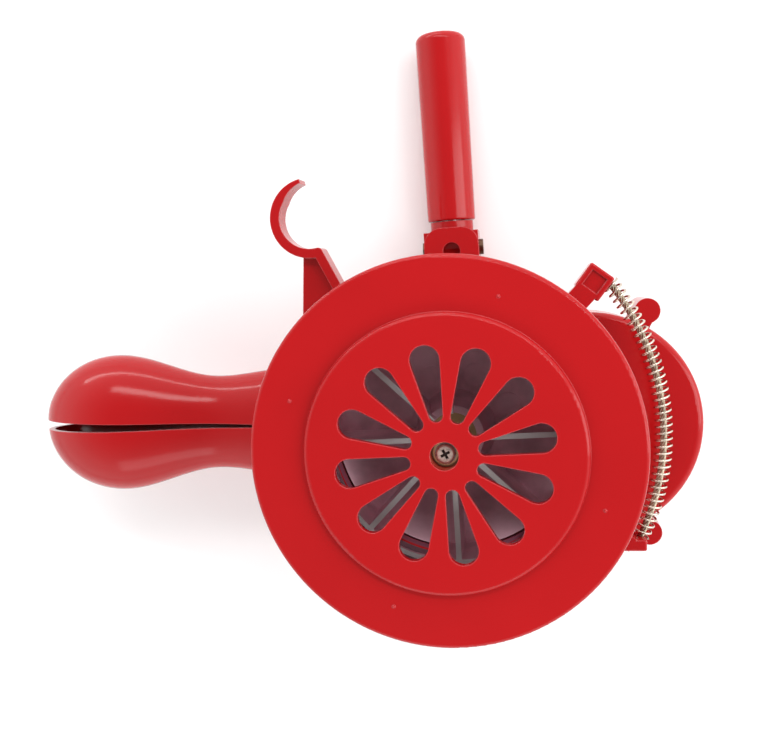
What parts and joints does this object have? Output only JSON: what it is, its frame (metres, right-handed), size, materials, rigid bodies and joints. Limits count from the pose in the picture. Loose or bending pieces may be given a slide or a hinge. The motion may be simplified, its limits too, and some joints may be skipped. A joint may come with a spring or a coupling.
{
  "type": "hand crank siren",
  "caption": "Hand-cranked siren: round flanged grille over a drum with a vaned rotor, gear housing, folding crank, folding split grip, hanging hook and spring-covered strap.",
  "frame": {"origin": "centre of the bounding box footprint at its lowest point, the part lying on its back with the grille up", "axes": "+Z along the drum axis out of the grille, -X towards the folding grip, +Y towards the crank and hook"},
  "size_m": [0.2558, 0.2154, 0.1143],
  "materials": {
    "red_plastic": "glossy red ABS",
    "cast_aluminium": "die cast, machined edges",
    "brass": "turned brass",
    "sintered_bronze": "sintered bronze",
    "acetal": "moulded acetal",
    "bright_steel": "bright steel",
    "spring_steel": "bright spring wire",
    "cable_steel": "bright steel cable",
    "nickel_bronze": "dull bronze plating",
    "dark_bronze": "dark bronze"
  },
  "bodies": {
    "housing": {"case_screws": "bright_steel", "cover_screws": "bright_steel", "crank_bush": "sintered_bronze", "drum": "red_plastic", "drum_screws": "bright_steel", "front_bush": "sintered_bronze", "front_cover": "red_plastic", "gear_case": "red_plastic", "gear_cover": "red_plastic", "hanging_hook": "red_plastic", "idler_front_bush": "sintered_bronze", "idler_rear_bush": "sintered_bronze", "leg_pin_lower": "bright_steel", "leg_pin_upper": "bright_steel", "rear_bush": "sintered_bronze", "strap_anchor_lower": "red_plastic", "strap_anchor_upper": "red_plastic", "strap_cable": "cable_steel", "strap_spring": "spring_steel"},
    "rotor": {"rotor": "cast_aluminium", "rotor_bush": "brass", "rotor_shaft": "bright_steel", "shaft_washer": "brass", "spring_washer": "bright_steel", "centre_screw": "nickel_bronze", "rotor_pinion": "acetal"},
    "idler": {"idler_shaft": "bright_steel", "idler_gear": "acetal", "idler_pinion": "acetal"},
    "crank": {"crank_gear": "acetal", "crank_shaft": "bright_steel", "crank_arm": "red_plastic", "crank_washer": "bright_steel", "crank_nut": "bright_steel", "fold_pin": "dark_bronze"},
    "grip": {"grip_neck": "red_plastic", "grip_spindle": "bright_steel", "spindle_clip": "bright_steel"},
    "sleeve": {"grip_sleeve": "red_plastic"},
    "leg_upper": {"leg_upper": "red_plastic"},
    "leg_lower": {"leg_lower": "red_plastic"}
  },
  "joints": [
    {"name": "crank_turn", "type": "hinge", "parent": "housing", "child": "crank", "pos_m": [0.03869, -0.04473, 0.02164], "axis": [0, 0, 1], "continuous": true},
    {"name": "rotor_spin", "type": "hinge", "parent": "housing", "child": "rotor", "pos_m": [0.03869, -0.04473, 0.07164], "axis": [0, 0, 1], "continuous": true},
    {"name": "idler_spin", "type": "hinge", "parent": "housing", "child": "idler", "pos_m": [0.08669, -0.04473, 0.03664], "axis": [0, 0, 1], "continuous": true},
    {"name": "grip_fold", "type": "hinge", "parent": "crank", "child": "grip", "pos_m": [0.03623, 0.02243, 0.00994], "axis": [-0.9993, -0.0366, 0], "range_deg": [0, 90]},
    {"name": "sleeve_spin", "type": "hinge", "parent": "grip", "child": "sleeve", "pos_m": [0.03448, 0.0702, 0.00994], "axis": [-0.0366, 0.9993, 0], "continuous": true},
    {"name": "leg_upper_fold", "type": "hinge", "parent": "housing", "child": "leg_upper", "pos_m": [-0.02131, -0.03343, 0.03964], "axis": [0, 0, -1], "range_deg": [-1, 50]},
    {"name": "leg_lower_fold", "type": "hinge", "parent": "housing", "child": "leg_lower", "pos_m": [-0.02131, -0.05343, 0.03964], "axis": [0, 0, 1], "range_deg": [-0.3, 50]}
  ],
  "couplings": [
    {"joint": "idler_spin", "follows": "crank_turn", "ratio": -5},
    {"joint": "rotor_spin", "follows": "crank_turn", "ratio": 19}
  ]
}
